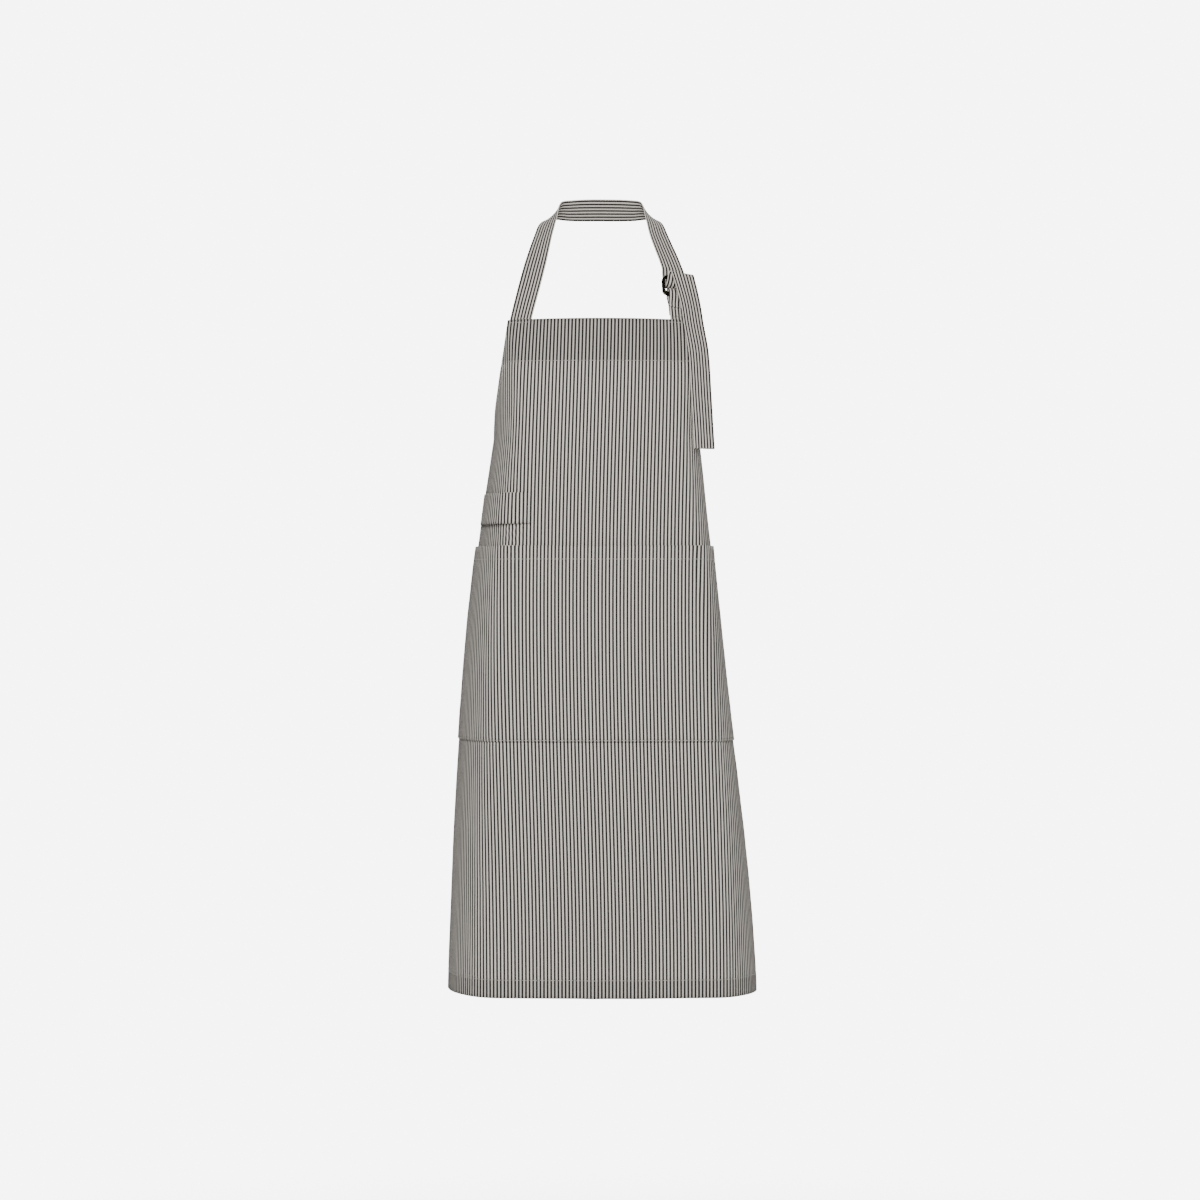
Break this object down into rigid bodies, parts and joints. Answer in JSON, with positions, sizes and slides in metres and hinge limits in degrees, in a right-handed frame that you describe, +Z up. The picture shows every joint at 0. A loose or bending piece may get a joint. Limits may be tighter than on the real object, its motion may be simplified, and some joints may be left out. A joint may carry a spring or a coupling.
{
  "type": "bib apron",
  "caption": "Long bib apron in striped cloth, worn shape, with adjustable neck strap and rings, full-width pocket, towel loop and waist ties",
  "frame": {"origin": "middle of the inner face of the neck strap where it crosses the back of the neck", "axes": "+Z up, the bib faces -Y, +X is the side with the two rings"},
  "size_m": [0.4103, 0.2626, 1.0539],
  "materials": {
    "ticking_cloth": "matt woven cotton, dark grey and off-white stripes",
    "thread": "matt sewing thread",
    "ring_metal": "blackened brass wire, worn at the edges"
  },
  "bodies": {
    "apron": {"front_panel": "ticking_cloth", "bib_facing": "ticking_cloth", "bottom_hem": "ticking_cloth", "armhole_hem_left": "ticking_cloth", "armhole_hem_right": "ticking_cloth", "side_hem_left": "ticking_cloth", "side_hem_right": "ticking_cloth", "pocket": "ticking_cloth", "pocket_mouth_hem": "ticking_cloth", "pocket_bottom_fold": "ticking_cloth", "towel_loop": "ticking_cloth", "neck_strap": "ticking_cloth", "keeper_tab": "ticking_cloth", "strap_turn": "ticking_cloth", "bartacks": "thread", "waist_tie_left": "ticking_cloth", "waist_tie_right": "ticking_cloth", "tie_knot": "ticking_cloth"},
    "ring_front": {"ring_front": "ring_metal"},
    "ring_back": {"ring_back": "ring_metal"},
    "tail": {"strap_tail": "ticking_cloth", "strap_tail_hem": "ticking_cloth"},
    "bow_loop_left": {"bow_loop_left": "ticking_cloth"},
    "bow_loop_right": {"bow_loop_right": "ticking_cloth"},
    "tie_end_left": {"tie_end_left": "ticking_cloth"},
    "tie_end_right": {"tie_end_right": "ticking_cloth"}
  },
  "joints": [
    {"name": "tail_lift", "type": "hinge", "parent": "apron", "child": "tail", "pos_m": [0.10412, -0.11065, -0.09656], "axis": [-0.9243, -0.3544, 0.1419], "range_deg": [0, 110]},
    {"name": "ring_front_tilt", "type": "hinge", "parent": "apron", "child": "ring_front", "pos_m": [0.10247, -0.1177, -0.12493], "axis": [0.9243, 0.3544, -0.1419], "range_deg": [0, 5]},
    {"name": "ring_back_tilt", "type": "hinge", "parent": "apron", "child": "ring_back", "pos_m": [0.10096, -0.11451, -0.1268], "axis": [-0.9243, -0.3544, 0.1419], "range_deg": [0, 5]},
    {"name": "bow_loop_left_swing", "type": "hinge", "parent": "apron", "child": "bow_loop_left", "pos_m": [-0.022, 0.032, -0.44], "axis": [1, 0, 0], "range_deg": [-5, 60]},
    {"name": "bow_loop_right_swing", "type": "hinge", "parent": "apron", "child": "bow_loop_right", "pos_m": [0.006, 0.032, -0.44], "axis": [1, 0, 0], "range_deg": [-5, 60]},
    {"name": "tie_end_left_swing", "type": "hinge", "parent": "apron", "child": "tie_end_left", "pos_m": [-0.017, 0.012, -0.453], "axis": [1, 0, 0], "range_deg": [-10, 70]},
    {"name": "tie_end_right_swing", "type": "hinge", "parent": "apron", "child": "tie_end_right", "pos_m": [0.001, 0.012, -0.453], "axis": [1, 0, 0], "range_deg": [-10, 70]}
  ]
}
